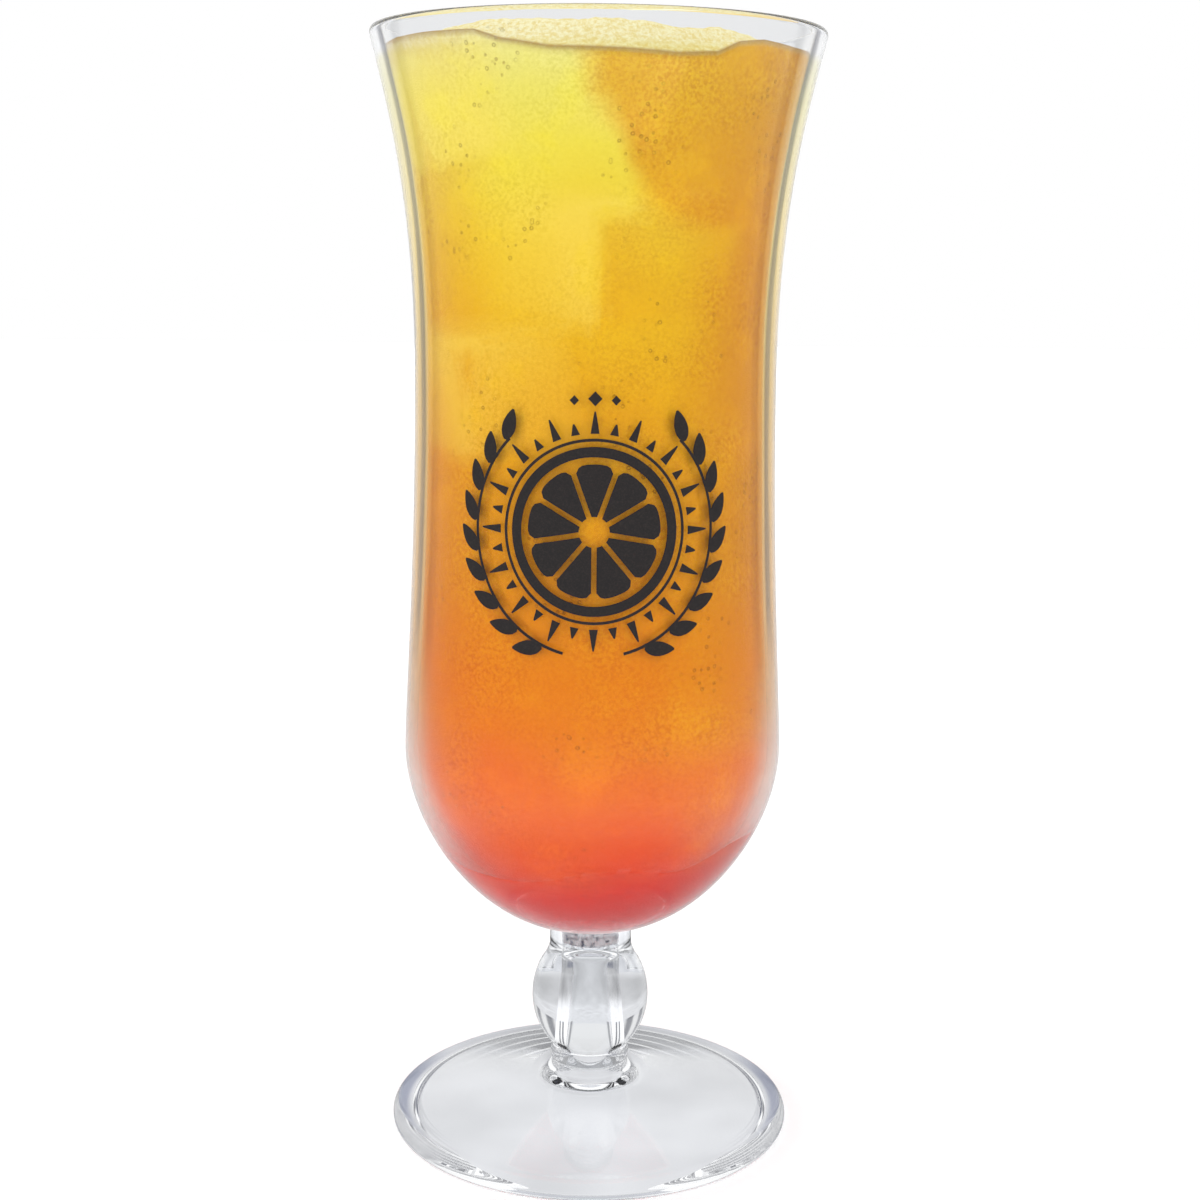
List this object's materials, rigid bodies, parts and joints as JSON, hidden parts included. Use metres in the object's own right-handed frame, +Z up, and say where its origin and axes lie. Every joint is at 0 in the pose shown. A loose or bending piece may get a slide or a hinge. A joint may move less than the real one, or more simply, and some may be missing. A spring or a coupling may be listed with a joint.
{
  "type": "hurricane glass",
  "caption": "Tall flared cocktail glass of clear plastic on a ball-knob stem and wide foot, filled with a layered iced drink.",
  "frame": {"origin": "on the table, on the axis of the glass, in the plane of the foot's rest ring", "axes": "+Z up along the axis of the glass; -Y is the front, the side that carries the print"},
  "size_m": [0.0806, 0.0806, 0.203],
  "materials": {
    "clear_plastic": "clear, polished moulding",
    "cement": "thin clear film with trapped specks",
    "juice": "cloudy liquid, yellow to orange",
    "syrup": "red liquid",
    "ice": "wet ice"
  },
  "bodies": {
    "root": {"bowl": "clear_plastic", "stem_and_foot": "clear_plastic", "joint_cement": "cement", "juice": "juice", "syrup": "syrup", "ice_cube_1": "ice", "ice_cube_2": "ice", "ice_cube_3": "ice", "ice_cube_4": "ice", "ice_cube_5": "ice", "ice_cube_6": "ice", "ice_cube_7": "ice", "ice_cube_8": "ice"}
  },
  "joints": []
}
